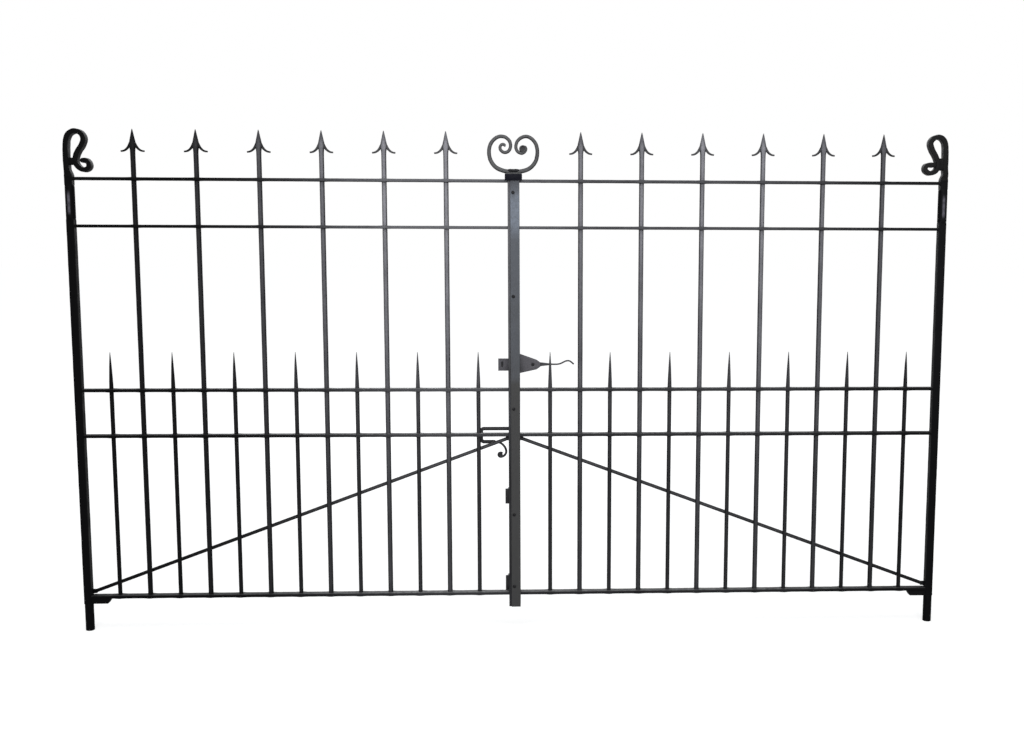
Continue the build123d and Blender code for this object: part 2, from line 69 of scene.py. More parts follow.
def aimCamera(settings):
    yaw, pitch, roll = (math.radians(settings[key]) for key in ("yaw", "pitch", "roll"))
    data = bpy.data.cameras.new("gateView")
    data.lens = settings["lens"]
    data.sensor_width = settings["sensor"]
    data.shift_x, data.shift_y = settings["shift"]
    data.clip_end = settings["farthest"]
    camera = show(bpy.data.objects.new("gateView", data))
    aim = Matrix.Rotation(-yaw, 4, "Z") @ Matrix.Rotation(math.pi / 2 + pitch, 4, "X")
    camera.matrix_world = Matrix.Translation(settings["place"]) @ aim @ Matrix.Rotation(roll, 4, "Z")
    bpy.context.scene.camera = camera


aimCamera(viewpoint)
bpy.context.scene.view_settings.view_transform = "Standard"
print("camera set")

floatKind, vectorKind = "NodeSocketFloat", "NodeSocketVector"


# Adds a node, links or sets its inputs, and gives its outputs
def addNode(tree, kind, links=None, **settings):
    node = tree.nodes.new(kind)
    for key, value in settings.items():
        setattr(node, key, value)
    for key, value in (links or {}).items():
        if isinstance(value, bpy.types.NodeSocket):
            tree.links.new(value, node.inputs[key])
        else:
            node.inputs[key].default_value = value
    return node.outputs


def mathNode(tree, operation, first, second=None, clamp=False):
    links = {0: first} if second is None else {0: first, 1: second}
    return addNode(tree, "ShaderNodeMath", links, operation=operation, use_clamp=clamp)[0]


def product(tree, *values, clamp=False):
    total = values[0]
    for value in values[1:-1]:
        total = mathNode(tree, "MULTIPLY", total, value)
    return mathNode(tree, "MULTIPLY", total, values[-1], clamp)


def rangeNode(tree, value, fromLow, fromHigh, toLow=0.0, toHigh=1.0, smooth=False):
    links = dict(enumerate((value, fromLow, fromHigh, toLow, toHigh)))
    kind = "SMOOTHSTEP" if smooth else "LINEAR"
    return addNode(tree, "ShaderNodeMapRange", links, interpolation_type=kind)[0]


def noiseNode(tree, place, scale, detail=3.0, rough=0.5):
    links = {"Vector": place, "Scale": scale, "Detail": detail, "Roughness": rough}
    return addNode(tree, "ShaderNodeTexNoise", links)["Fac"]


# Patches: grain is scale, detail and roughness; spread is the range taken in, and the range given out
def patchNode(tree, place, grain, spread):
    return rangeNode(tree, noiseNode(tree, place, *grain), *spread)


def axes(tree, vector):
    return addNode(tree, "ShaderNodeSeparateXYZ", {0: vector})


def facingAxes(tree):
    return axes(tree, addNode(tree, "ShaderNodeNewGeometry")["Normal"])


# A node tree with named inputs: each has the kind of its socket, or a number to start from
def startTree(treeKind, name, inputs, outputs):
    tree = bpy.data.node_groups.new(name, treeKind)
    for label, value in inputs.items():
        plain = isinstance(value, float)
        socket = tree.interface.new_socket(label, in_out="INPUT", socket_type=floatKind if plain else value)
        if plain:
            socket.default_value = value
    for label, kind in outputs.items():
        tree.interface.new_socket(label, in_out="OUTPUT", socket_type=kind)
    return tree, addNode(tree, "NodeGroupInput"), tree.nodes.new("NodeGroupOutput").inputs


# A shader group takes a place and numbers, and gives numbers
def startGroup(name, inputs, *outputs):
    return startTree("ShaderNodeTree", name, {"Place": vectorKind, **inputs}, dict.fromkeys(outputs, floatKind))


hammerSettings = {"smoothness": 0.6, "hollowPower": 1.6, "swell": (45.0, 2.0), "grain": (520.0, 3.0, 0.6)}


# Hammer blows and fine scale, as a height in metres
def buildHammerGroup(settings):
    inputs = {"Blow Size": 0.012, "Blow Depth": 0.0004, "Grain Depth": 0.00006}
    tree, given, result = startGroup("hammerBlows", inputs, "Height")
    place = given["Place"]
    blows = addNode(tree, "ShaderNodeTexVoronoi", {
        "Vector": place, "Scale": mathNode(tree, "DIVIDE", 1.0, given["Blow Size"]),
        "Smoothness": settings["smoothness"]}, feature="SMOOTH_F1")
    hollow = mathNode(tree, "POWER", blows["Distance"], settings["hollowPower"])
    swell = noiseNode(tree, place, *settings["swell"])
    grain = noiseNode(tree, place, *settings["grain"])
    total = mathNode(tree, "ADD", product(tree, hollow, given["Blow Depth"]),
                     product(tree, swell, given["Blow Depth"]))
    total = mathNode(tree, "ADD", total, product(tree, grain, given["Grain Depth"]))
    tree.links.new(total, result["Height"])
    return tree


edgeSettings = {
    "samples": 4,
    "turned": (0.995, 0.86),  # likeness of the rounded normal to the true one, plain and fully rubbed
    "patches": ((60.0, 4.0, 0.6), (0.35, 0.6, 0.25, 1.0)),
}


# Where an edge takes the edge tone: rubbed paint on most parts, a painted highlight on the cap and the eye
def buildEdgeGroup(settings):
    tree, given, result = startGroup("edgeRub", {"Reach": 0.002, "Amount": 1.0}, "Rub")
    rounded = addNode(tree, "ShaderNodeBevel", {"Radius": given["Reach"]}, samples=settings["samples"])
    surface = addNode(tree, "ShaderNodeNewGeometry")
    same = addNode(tree, "ShaderNodeVectorMath", {0: rounded["Normal"], 1: surface["Normal"]},
                   operation="DOT_PRODUCT")
    edge = rangeNode(tree, same["Value"], *settings["turned"], smooth=True)
    patch = patchNode(tree, given["Place"], *settings["patches"])
    tree.links.new(product(tree, edge, patch, given["Amount"], clamp=True), result["Rub"])
    return tree


# Painted light on the old paint: two broad patches of painted glow across the gates, stronger high up, and painted
# shading, lighter on the faces that look out and darker on the flanks and undersides; mottled at random
paintedLightSettings = {
    # the two patches of painted glow
    "leftPatch": (1.25, 0.54, 1.0),  # place along the gates, spread, strength
    "rightPatch": (2.28, 0.57, 0.8),
    "heights": (0.55, 1.45),
    "heightShares": (0.22, 1.0),
    # painted shading: the faces that look out are lighter, the flanks darker
    "outFace": (0.55, 0.97, 0.2, 1.25),
    # painted shade on the faces that look down
    "underside": (-0.85, -0.15, 0.15, 1.0),
    "upward": (0.45, 0.95),
    "broad": ((9.0, 5.0, 0.6), (0.3, 0.7, 0.72, 1.2)),
    "fine": ((130.0, 3.0, 0.6), (0.3, 0.7, 0.86, 1.12)),
    "specks": ((70.0, 5.0, 0.7), (0.35, 0.65, 0.35, 1.0)),
    "glowShareFloor": 0.15,
}


def buildPaintedLightGroup(settings):
    inputs = {"Amount": 1.0, "Right Share": 1.0, "Falloff": 1.0, "Fade Low": -0.2, "Fade High": -0.1}
    tree, given, result = startGroup("paintedLightAndShade", inputs, "Chalk", "Dust", "Wear")
    place = given["Place"]
    parts, facing = axes(tree, place), facingAxes(tree)

    def patchShare(middleAt, spread, strength):
        off = mathNode(tree, "DIVIDE", mathNode(tree, "SUBTRACT", parts["X"], middleAt), spread)
        return product(tree, mathNode(tree, "EXPONENT", product(tree, off, off, -1.0)), strength)

    # painted glow: two broad patches across the gates, stronger high up
    rightShare = product(tree, patchShare(*settings["rightPatch"]), given["Right Share"])
    across = mathNode(tree, "ADD", patchShare(*settings["leftPatch"]), rightShare, True)
    across = mathNode(tree, "POWER", across, given["Falloff"])
    tall = rangeNode(tree, parts["Z"], *settings["heights"], *settings["heightShares"])
    broad = patchNode(tree, place, *settings["broad"])
    fine = patchNode(tree, place, *settings["fine"])
    # painted shading: lighter on the faces that look out, darker on the flanks and on the faces that look down;
    # the broad and fine noise mottle it at random
    outFace = rangeNode(tree, mathNode(tree, "ABSOLUTE", facing["Y"]), *settings["outFace"], True)
    under = rangeNode(tree, facing["Z"], *settings["underside"], True)
    fade = rangeNode(tree, parts["Z"], given["Fade Low"], given["Fade High"], smooth=True)
    chalk = product(tree, across, tall, broad, fine, outFace, under, fade, given["Amount"], clamp=True)
    # how strong the painted glow patches are, never below a floor; it scales the dust and the edge tone
    glowShare = rangeNode(tree, across, 0.0, 1.0, settings["glowShareFloor"])
    # dust and painted top light: upward faces lighter, in specks, more where the painted glow is
    upward = rangeNode(tree, facing["Z"], *settings["upward"], smooth=True)
    specks = patchNode(tree, place, *settings["specks"])
    tree.links.new(chalk, result["Chalk"])
    tree.links.new(product(tree, upward, specks, glowShare, clamp=True), result["Dust"])
    tree.links.new(glowShare, result["Wear"])
    return tree


highlightBandSettings = {"facing": (0.93, 0.998), "patches": ((90.0, 3.0, 0.6), (0.35, 0.65, 0.5, 1.0))}


# A band of heights with a painted highlight down the middle of the faces that look out
def buildHighlightBandGroup(settings):
    inputs = {"Low": 0.0, "Full Low": 0.1, "Full High": 0.9, "High": 1.0}
    tree, given, result = startGroup("paintedHighlightBand", inputs, "Share")
    parts, facing = axes(tree, given["Place"]), facingAxes(tree)
    above = rangeNode(tree, parts["Z"], given["Low"], given["Full Low"], smooth=True)
    below = rangeNode(tree, parts["Z"], given["Full High"], given["High"], 1.0, 0.0, True)
    out = rangeNode(tree, mathNode(tree, "ABSOLUTE", facing["Y"]), *settings["facing"], smooth=True)
    patch = patchNode(tree, given["Place"], *settings["patches"])
    tree.links.new(product(tree, above, below, out, patch, clamp=True), result["Share"])
    return tree


highlightBandGroup, hammerGroup = buildHighlightBandGroup(highlightBandSettings), buildHammerGroup(hammerSettings)
edgeGroup, paintedLightGroup = buildEdgeGroup(edgeSettings), buildPaintedLightGroup(paintedLightSettings)


# A tone is a grey, a colour, or the output of a node
def opaque(tone):
    if isinstance(tone, float):
        tone = (tone, tone, tone)
    return (*tone, 1.0) if isinstance(tone, tuple) else tone


def mixColour(tree, factor, first, second):
    links = {0: factor, 6: opaque(first), 7: opaque(second)}
    return addNode(tree, "ShaderNodeMix", links, data_type="RGBA")[2]


# One black enamel, worn, dusted and given painted glow, painted shade and painted highlights in a different way on
# each kind of part; a single number is a grey
blackEnamel = {
    "coat": (0.003, 0.003, 0.0034), "paintedLightAmount": 0.8, "rub": 0.4, "rubReach": 0.001, "dust": 0.1,
    "dustAndTopLightShare": 0.5, "rough": (0.4, 0.56), "specular": 0.06, "sheenGrain": (22.0, 4.0, 0.6),
    "sheenSpread": (0.35, 0.65), "rightShare": 1.0, "falloff": 1.0, "fade": (-0.2, -0.1),
}
# blow is the size and depth of the hammer blows and the depth of the grain
paintRecipes = {
    "stilePaint": {
        "slot": "stile_paint", "chalk": (0.06, 0.062, 0.07), "paintedLightAmount": 0.4, "edgeTone": (0.035, 0.036, 0.042),
        "rub": 0.7, "rubReach": 0.002, "dust": 0.04, "rough": (0.42, 0.55), "specular": 0.02,
        # a painted bluish highlight down the front of the round journal
        "blow": (0.022, 0.0005, 0.00005), "shine": (0.105, 0.101, 0.122),
        "shineHeights": (1.45, 1.468, 1.512, 1.54)},
    "framePaint": {
        "slot": "frame_paint", "coat": (0.0022, 0.0022, 0.0025), "chalk": (0.12, 0.121, 0.132),
        "paintedLightAmount": 1.0, "edgeTone": (0.06, 0.061, 0.067), "rub": 0.5, "rubReach": 0.0018,
        # the rails' upward faces take dust and a painted top light
        "dust": (0.2, 0.2, 0.205), "dustAndTopLightShare": 0.85, "rough": (0.42, 0.6), "blow": (0.016, 0.0003, 0.00005),
        "specular": 0.03, "rightShare": 0.8, "falloff": 1.8},
    "plateFinish": {
        "slot": "frame_paint", "coat": (0.052, 0.052, 0.053), "chalk": (0.086, 0.093, 0.107), "paintedLightAmount": 1.15,
        "edgeTone": (0.1, 0.102, 0.112), "rubReach": 0.0014, "dust": 0.12, "dustAndTopLightShare": 0.6, "rough": (0.5, 0.68),
        # painted glow only above 0.87 m; a painted bluish sheen high up on the plate
        "blow": (0.03, 0.0003, 0.00006), "specular": 0.1, "fade": (0.87, 0.90), "shine": (0.175, 0.2, 0.245),
        "shineHeights": (1.36, 1.44, 1.50, 1.56)},
    "latchPaint": {
        "slot": "hardware_paint", "coat": (0.03, 0.03, 0.032), "chalk": (0.1, 0.098, 0.11), "paintedLightAmount": 1.6,
        # the latch plate and keeper are darker at their edges
        "edgeTone": (0.02, 0.02, 0.022), "rub": 1.0, "rubReach": 0.005, "dustAndTopLightShare": 0.3, "rough": (0.42, 0.6),
        "blow": (0.014, 0.0004, 0.00005)},
    "capPaint": {
        "slot": "frame_paint", "coat": (0.002, 0.002, 0.0036), "chalk": (0.006, 0.006, 0.012),
        # the cap's edges take a painted highlight
        "paintedLightAmount": 0.6, "edgeTone": (0.12, 0.123, 0.135), "rub": 0.7, "rubReach": 0.002,
        "dust": (0.2, 0.2, 0.205), "dustAndTopLightShare": 0.9, "rough": (0.4, 0.55), "blow": (0.018, 0.0005, 0.00005),
        "specular": 0.05},
    "heartPaint": {
        "slot": "scroll_paint", "chalk": (0.1, 0.101, 0.105), "paintedLightAmount": 0.9, "edgeTone": 0.1, "dust": 0.16,
        "dustAndTopLightShare": 0.4, "blow": (0.010, 0.0003, 0.00006)},
    "eyePaint": {
        # the eye's dark coat is painted shade in the curl's recess; its edges take painted highlights
        "slot": "scroll_paint", "coat": (0.012, 0.012, 0.013), "chalk": (0.05, 0.05, 0.052), "paintedLightAmount": 1.0,
        "edgeTone": (0.14, 0.14, 0.142), "rub": 0.9, "rubReach": 0.0025, "dust": 0.16, "dustAndTopLightShare": 0.4,
        "blow": (0.006, 0.0004, 0.00006)},
    "barbPaint": {
        "slot": "bar_paint", "chalk": (0.075, 0.075, 0.08), "edgeTone": (0.08, 0.08, 0.085),
        "dust": (0.2, 0.2, 0.205), "dustAndTopLightShare": 0.8, "blow": (0.010, 0.0002, 0.00005)},
    "barPaint": {
        "slot": "bar_paint", "chalk": (0.25, 0.25, 0.275), "edgeTone": (0.08, 0.08, 0.09), "rubReach": 0.0012,
        "blow": (0.02, 0.00025, 0.00005), "specular": 0.05},
    "dogPaint": {
        "slot": "bar_paint", "chalk": (0.13, 0.13, 0.142), "edgeTone": (0.06, 0.06, 0.062), "rubReach": 0.0012,
        "blow": (0.02, 0.00025, 0.00005), "specular": 0.04},
    "scrollPaint": {
        "slot": "scroll_paint", "coat": (0.0025, 0.0025, 0.0028), "chalk": (0.06, 0.06, 0.062),
        "edgeTone": (0.05, 0.05, 0.052), "rub": 0.8, "rubReach": 0.0025, "dust": 0.09, "rough": (0.42, 0.56),
        "blow": (0.011, 0.0007, 0.00006), "specular": 0.03},
    "hardwarePaint": {
        "slot": "hardware_paint", "coat": (0.012, 0.012, 0.013), "chalk": (0.09, 0.09, 0.1),
        "edgeTone": (0.15, 0.15, 0.155), "rub": 1.0, "rubReach": 0.0016, "rough": (0.38, 0.56),
        "blow": (0.014, 0.0004, 0.00005), "specular": 0.12},
    "rivetPaint": {
        "slot": "hardware_paint", "coat": (0.004, 0.004, 0.0046), "chalk": (0.02, 0.02, 0.024),
        "paintedLightAmount": 0.6, "edgeTone": (0.06, 0.06, 0.065), "rub": 0.5, "dust": 0.05, "dustAndTopLightShare": 0.4,
        "rough": (0.36, 0.5), "blow": (0.006, 0.0003, 0.00004), "specular": 0.12},
}
paintRecipes["weldPaint"] = {**paintRecipes["rivetPaint"], "slot": "scroll_paint"}


def mixPaint(name, recipe):
    material = bpy.data.materials.new(name)
    material.use_nodes = True
    tree = material.node_tree
    shader = tree.nodes["Principled BSDF"]
    place = addNode(tree, "ShaderNodeTexCoord")["Object"]

    def effect(group, values):
        return addNode(tree, "ShaderNodeGroup", {"Place": place, **values}, node_tree=group)

    size, depth, grain = recipe["blow"]
    hammer = effect(hammerGroup, {"Blow Size": size, "Blow Depth": depth, "Grain Depth": grain})
    edge = effect(edgeGroup, {"Reach": recipe["rubReach"], "Amount": recipe["rub"]})
    fadeLow, fadeHigh = recipe["fade"]
    chalk = effect(paintedLightGroup, {"Amount": recipe["paintedLightAmount"], "Right Share": recipe["rightShare"],
                                "Falloff": recipe["falloff"], "Fade Low": fadeLow, "Fade High": fadeHigh})
    # painted glow and painted shade mixed over the coat
    colour = mixColour(tree, chalk["Chalk"], recipe["coat"], recipe["chalk"])
    # dust, with painted top light, on the upward faces
    colour = mixColour(tree, product(tree, chalk["Dust"], recipe["dustAndTopLightShare"]), colour, recipe["dust"])
    # edges take the edge tone, more where the painted glow is: worn paint on most parts, a painted highlight on
    # the cap and the eye
    colour = mixColour(tree, product(tree, edge["Rub"], chalk["Wear"]), colour, recipe["edgeTone"])
    # a painted highlight band, on the stile journals and on the cover plate
    if "shine" in recipe:
        heights = dict(zip(("Low", "Full Low", "Full High", "High"), recipe["shineHeights"]))
        colour = mixColour(tree, effect(highlightBandGroup, heights)["Share"], colour, recipe["shine"])
    tree.links.new(colour, shader.inputs["Base Color"])
    sheen = patchNode(tree, place, recipe["sheenGrain"], (*recipe["sheenSpread"], *recipe["rough"]))
    tree.links.new(sheen, shader.inputs["Roughness"])
    bump = addNode(tree, "ShaderNodeBump", {"Strength": 1.0, "Distance": 1.0, "Height": hammer["Height"]})
    tree.links.new(bump["Normal"], shader.inputs["Normal"])
    shader.inputs["Specular IOR Level"].default_value = recipe["specular"]
    return material


paints = {name: mixPaint(name, {**blackEnamel, **recipe}) for name, recipe in paintRecipes.items()}
print("paints mixed:", len(paints))


# A visible piece that stands in for CAD nodes and rides on their body, or only rides on a body
def addPiece(name, mesh, paint, sharpAngle, *nodes, body=None):
    mesh.name = name
    mesh.materials.clear()
    mesh.materials.append(paints[paint])
    mesh.shade_smooth()
    if sharpAngle:
        mesh.set_sharp_from_angle(angle=math.radians(sharpAngle))
    piece = show(bpy.data.objects.new(name, mesh))
    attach(piece, body or bodyOf[nodes[0]])
    if nodes:
        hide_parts(*nodes)


def pieceName(node):
    first, *rest = node.split("_")
    return first + "".join(word.capitalize() for word in rest)


def meshFrom(form):
    mesh = bpy.data.meshes.new("shape")
    form.to_mesh(mesh)
    form.free()
    return mesh


# A skin over rows of rings, each closed at both ends; a ring is a list of points
def skinnedMesh(*rows):
    form = bmesh.new()
    for rings in rows:
        loops = [[form.verts.new(point) for point in ring] for ring in rings]
        count = len(loops[0])
        for low, high in zip(loops, loops[1:]):
            for index in range(count):
                after = (index + 1) % count
                form.faces.new((low[index], low[after], high[after], high[index]))
        form.faces.new(list(reversed(loops[0])))
        form.faces.new(loops[-1])
    bmesh.ops.recalc_face_normals(form, faces=form.faces)
    return meshFrom(form)


# Unit directions round an upright axis
def directions(count):
    angles = [2 * math.pi * index / count for index in range(count)]
    return [Vector((math.cos(angle), math.sin(angle), 0.0)) for angle in angles]


def easeShare(share):
    return share * share * (3 - 2 * share)


def between(start, end, share):
    return start + (end - start) * share


# How far along a run each of its points is
def distancesAlong(run):
    distances = [0.0]
    for first, second in zip(run, run[1:]):
        distances.append(distances[-1] + (second - first).length)
    return distances


# A point moved by hammer blows: their size, their depth, and how far they sink the whole surface
def dented(point, outward, blow, share=1.0):
    size, depth, sink = blow
    uneven = noise.noise(point / size) + 0.5 * noise.noise(point / size * 2.3)
    return point + outward * (uneven * depth - sink) * share


# A ring round an upright axis, with a radius for each direction
def roundRing(centre, radii, blow=None, share=1.0):
    ring = []
    for outward, radius in zip(directions(len(radii)), radii):
        point = centre + outward * radius
        ring.append(dented(point, outward, blow, share) if blow else point)
    return ring


# Rounded oblong section: half sizes along its two axes and a corner radius
def oblong(halfThick, halfDeep, corner, steps=4):
    corner = min(corner, halfThick, halfDeep)
    points = []
    for quarter, (signU, signV) in enumerate(((1, 1), (-1, 1), (-1, -1), (1, -1))):
        centre = (signU * (halfThick - corner), signV * (halfDeep - corner))
        for step in range(steps + 1):
            angle = math.radians(90 * quarter + 90 * step / steps)
            points.append((centre[0] + corner * math.cos(angle), centre[1] + corner * math.sin(angle)))
    return points


# A smooth run through points, cut at an even step
def smoothRun(points, step, cuts=12):
    points = [Vector(point) for point in points]
    ends = [2 * points[0] - points[1], *points, 2 * points[-1] - points[-2]]
    fine = []
    for before, start, end, after in zip(ends, ends[1:], ends[2:], ends[3:]):
        for share in range(cuts):
            t = share / cuts
            fine.append(0.5 * (2 * start + (end - before) * t + (2 * before - 5 * start + 4 * end - after) * t ** 2
                               + (3 * start - before - 3 * end + after) * t ** 3))
    fine.append(points[-1])
    lengths = distancesAlong(fine)
    total = lengths[-1]
    count = max(2, round(total / step))
    run, place = [], 0
    for index in range(count + 1):
        target = total * index / count
        while place < len(lengths) - 2 and lengths[place + 1] < target:
            place += 1
        gap = lengths[place + 1] - lengths[place]
        share = (target - lengths[place]) / gap if gap else 0.0
        run.append(fine[place].lerp(fine[place + 1], min(1.0, share)))
    return run, total


depthAxis = Vector((0, 1, 0))


# The direction across a run, at one of its points
def acrossRun(run, index):
    return depthAxis.cross(run[min(index + 1, len(run) - 1)] - run[max(index - 1, 0)]).normalized()


# One ring of a bar with an oblong section
def barRing(centre, across, halfThick, halfDeep, corner, blow=None, steps=4):
    ring = []
    for u, v in oblong(halfThick, halfDeep, corner, steps):
        outward = across * u + depthAxis * v
        point = centre + outward
        ring.append(dented(point, outward.normalized(), blow) if blow else point)
    return ring


# The rings of a bar bent through points in an upright plane: halfSizes(distance, total) gives its half
# thickness and half depth
def bentBar(points, step, halfSizes, cornerShare, blow=None, steps=4):
    run, total = smoothRun(points, step)
    rings = []
    for index, centre in enumerate(run):
        halves = halfSizes(total * index / (len(run) - 1), total)
        rings.append(barRing(centre, acrossRun(run, index), *halves, min(halves) * cornerShare, blow, steps))
    return rings


# Share of a bar's thickness towards a rounded end
def roundedEnd(distance, total, reach, least):
    end = min(distance, total - distance)
    return math.sqrt(max(least, 1 - max(0.0, 1 - end / reach) ** 2))


softenSettings = {"joinWithin": 0.00001, "flatAngle": 2.0, "edgeAngle": 40.0}


# A copy of a CAD node with its edges softened, as filed or worn iron has
def softenedCopy(node, width, segments, fullness, settings):
    form = bmesh.new()
    form.from_mesh(frame["nodes"][node].data)
    bmesh.ops.remove_doubles(form, verts=form.verts, dist=settings["joinWithin"])
    flatAngle = math.radians(settings["flatAngle"])
    bmesh.ops.dissolve_limit(form, angle_limit=flatAngle, verts=form.verts, edges=form.edges)
    if fullness:
        form.normal_update()
        for vert in form.verts:
            vert.co += vert.normal * fullness
    rough = show(bpy.data.objects.new("rough", meshFrom(form)))
    soften = rough.modifiers.new("soften", "BEVEL")
    soften.width = width
    soften.segments = segments
    soften.limit_method = "ANGLE"
    soften.angle_limit = math.radians(settings["edgeAngle"])
    soften.use_clamp_overlap = True
    soft = bpy.data.meshes.new_from_object(rough.evaluated_get(bpy.context.evaluated_depsgraph_get()))
    bpy.data.objects.remove(rough)
    return soft


def middle(node):
    low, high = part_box(node)
    return (low + high) / 2


# Geometry trees take a geometry and give one, realized and painted
def startGrowth(name, inputs):
    shape = {"Geometry": "NodeSocketGeometry"}
    return startTree("GeometryNodeTree", name, {**shape, "Paint": "NodeSocketMaterial", **inputs}, shape)


def endGrowth(tree, geometry, paint, result):
    realized = addNode(tree, "GeometryNodeRealizeInstances", {"Geometry": geometry})
    painted = addNode(tree, "GeometryNodeSetMaterial", {"Geometry": realized[0], "Material": paint})
    tree.links.new(painted[0], result[0])
    return tree


def growMesh(tree, paint, values, seedMesh=None):
    values = {**values, "Paint": paints[paint]}
    seed = show(bpy.data.objects.new("seed", seedMesh or bpy.data.meshes.new("seed")))
    grower = seed.modifiers.new("grow", "NODES")
    grower.node_group = tree
    for item in tree.interface.items_tree:
        if item.in_out == "INPUT" and item.name in values:
            grower[item.identifier] = values[item.name]
    mesh = bpy.data.meshes.new_from_object(seed.evaluated_get(bpy.context.evaluated_depsgraph_get()))
    seed.modifiers.remove(grower)
    bpy.data.objects.remove(seed)
    return mesh


sides = {"left": 1.0, "right": -1.0}  # direction from the hinge towards the middle
hingeX = {side: middle(side + "_heel_pivot").x for side in sides}
middleX = sum(hingeX.values()) / 2
stileHalf = 0.0135  # half the square of a hanging stile


def addBothSides(ending, build, settings, paint, sharpAngle):
    for side in sides:
        node = f"{side}_{ending}"
        addPiece(pieceName(node), build(side, settings), paint, sharpAngle, node)


# Rails: flat bar that swells round each punched hole
railSettings = {
    "Width": 0.032,
    "Edge": 0.0018,
    "Step": 0.0045,
    "Swell": 0.002,
    "Swell Reach": 0.013,
    "Eye Rise": 0.0009,
    "Blow Depth": 0.0005,
    "Blow Scale": 38.0,
    "Blow Middle": 0.56,
}
railFullness = 0.0007  # scale and paint stand a little proud of the bar
tallCount, dogCount = 6, 7


def buildRailTree(settings):
    numbers = ("Thickness", "First Bar", "Pitch", "Last Number", *settings)
    tree, given, result = startGrowth("punchedRail", {
        "Start": vectorKind, "End": vectorKind, **dict.fromkeys(numbers, floatKind)})

    def step(operation, *values):
        return mathNode(tree, operation, *values)

    line = addNode(tree, "GeometryNodeCurvePrimitiveLine", {"Start": given["Start"], "End": given["End"]})
    cut = addNode(tree, "GeometryNodeResampleCurve", {"Curve": line[0], "Length": given["Step"]},
                  mode="LENGTH")
    upright = addNode(tree, "GeometryNodeSetCurveNormal", {"Curve": cut[0]}, mode="Z_UP")
    section = addNode(tree, "GeometryNodeCurvePrimitiveQuadrilateral",
                      {"Width": given["Width"], "Height": given["Thickness"]})
    rounded = addNode(tree, "GeometryNodeFilletCurve",
                      {"Curve": section[0], "Count": 3, "Radius": given["Edge"]}, mode="POLY")
    bar = addNode(tree, "GeometryNodeCurveToMesh", {"Curve": upright[0], "Fill Caps": True,
                                                    "Profile Curve": rounded[0]})
    place = addNode(tree, "GeometryNodeInputPosition")[0]
    parts, startParts = axes(tree, place), axes(tree, given["Start"])
    number = step("ROUND", step("DIVIDE", step("SUBTRACT", parts[0], given["First Bar"]), given["Pitch"]))
    number = step("MINIMUM", step("MAXIMUM", number, 0.0), given["Last Number"])
    barX = step("ADD", product(tree, number, given["Pitch"]), given["First Bar"])
    away = step("DIVIDE", step("SUBTRACT", parts[0], barX), given["Swell Reach"])
    near = step("EXPONENT", product(tree, away, away, -1.0))
    swell = product(tree, near, given["Swell"], step("SIGN", parts[1]))
    rise = product(tree, near, given["Eye Rise"], step("SIGN", step("SUBTRACT", parts[2], startParts[2])))
    blows = noiseNode(tree, place, given["Blow Scale"], detail=2.0)
    dent = product(tree, step("SUBTRACT", blows, given["Blow Middle"]), given["Blow Depth"])
    normal = addNode(tree, "GeometryNodeInputNormal")[0]
    dentMove = addNode(tree, "ShaderNodeVectorMath", {0: normal, "Scale": dent}, operation="SCALE")
    eyeMove = addNode(tree, "ShaderNodeCombineXYZ", {1: swell, 2: rise})
    move = addNode(tree, "ShaderNodeVectorMath", {0: eyeMove[0], 1: dentMove[0]}, operation="ADD")
    shaped = addNode(tree, "GeometryNodeSetPosition", {"Geometry": bar[0], "Offset": move[0]})
    return endGrowth(tree, shaped[0], given["Paint"], result)


railTree = buildRailTree(railSettings)
spearNodes = {side: [f"{side}_spear_bar_{number}" for number in range(1, tallCount + 1)] for side in sides}
barXs = {side: [middle(node).x for node in spearNodes[side]] for side in sides}
tallPitch = abs(barXs["left"][1] - barXs["left"][0])
for side, direction in sides.items():
    tallFirst = min(barXs[side])
    meetLow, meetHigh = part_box(side + "_meeting_stile")
    ends = sorted((hingeX[side] + direction * stileHalf, meetLow.x if side == "left" else meetHigh.x))
    for railName in ("top", "upper", "middle", "lower", "bottom"):
        node = f"{side}_{railName}_rail"
        low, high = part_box(node)
        height = middle(node).z
        if railName in ("top", "upper"):
            firstBar, pitch, count = tallFirst, tallPitch, tallCount
        else:
            firstBar, pitch, count = tallFirst - tallPitch / 2, tallPitch / 2, tallCount + dogCount
        mesh = growMesh(railTree, "framePaint", {
            **railSettings, "First Bar": firstBar, "Pitch": pitch, "Last Number": count - 1.0,
            "Start": (ends[0], 0.0, height), "End": (ends[1], 0.0, height),
            "Thickness": high.z - low.z + railFullness})
        addPiece(pieceName(node), mesh, "framePaint", 32, node)
print("rails forged")


# Rows of upright bars, copied from one pattern
def buildRowTree():
    tree, given, result = startGrowth("barRow", {
        "Pattern": "NodeSocketObject", "First X": floatKind, "Spacing": floatKind, "Count": "NodeSocketInt"})
    first = addNode(tree, "ShaderNodeCombineXYZ", {0: given["First X"]})
    pace = addNode(tree, "ShaderNodeCombineXYZ", {0: given["Spacing"]})
    row = addNode(tree, "GeometryNodeMeshLine", {"Count": given["Count"], "Start Location": first[0],
                                                 "Offset": pace[0]})
    pattern = addNode(tree, "GeometryNodeObjectInfo", {"Object": given["Pattern"]})
    stood = addNode(tree, "GeometryNodeInstanceOnPoints",
                    {"Points": row[0], "Instance": pattern["Geometry"]})
    return endGrowth(tree, stood[0], given["Paint"], result)


rowTree = buildRowTree()


def standRow(patternMesh, firstX, count, paint):
    pattern = show(bpy.data.objects.new("pattern", patternMesh))
    mesh = growMesh(rowTree, paint, {"Pattern": pattern, "First X": firstX, "Spacing": tallPitch, "Count": count})
    bpy.data.objects.remove(pattern)
    return mesh


